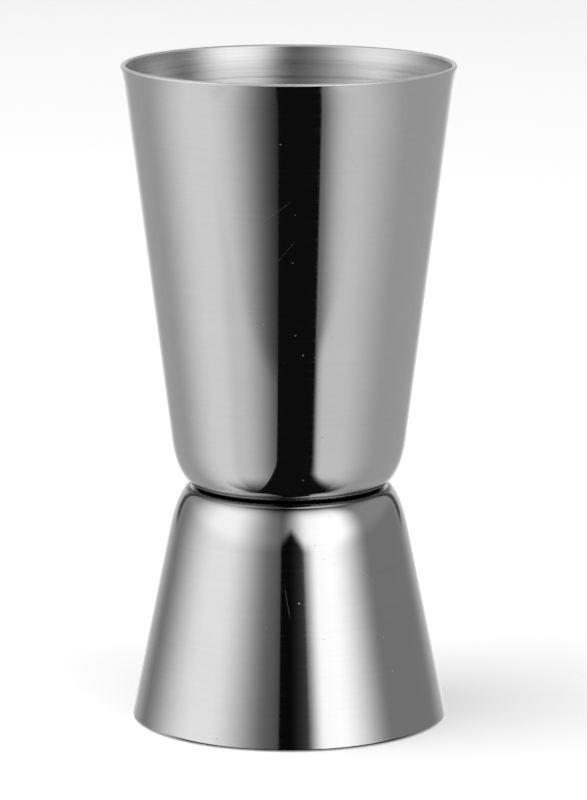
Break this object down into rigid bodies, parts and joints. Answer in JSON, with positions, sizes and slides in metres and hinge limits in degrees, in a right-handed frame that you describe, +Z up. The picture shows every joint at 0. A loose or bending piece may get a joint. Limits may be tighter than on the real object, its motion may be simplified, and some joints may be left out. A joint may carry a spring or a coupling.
{
  "type": "bar jigger",
  "caption": "Double-ended bar measure: a large and a small conical steel cup joined base to base, open at both ends.",
  "frame": {"origin": "centre of the small cup's mouth, on the surface that the jigger stands on", "axes": "+Z up along the axis of both cups, from the small cup's mouth to the large cup's mouth"},
  "size_m": [0.043, 0.043, 0.085],
  "materials": {
    "polished_steel": "polished outside with fine lines along the wall, finely turned rings inside",
    "weld_metal": "fused, as cast"
  },
  "bodies": {
    "root": {"large_cup": "polished_steel", "small_cup": "polished_steel", "spot_weld_1": "weld_metal", "spot_weld_2": "weld_metal", "spot_weld_3": "weld_metal", "spot_weld_4": "weld_metal"}
  },
  "joints": []
}
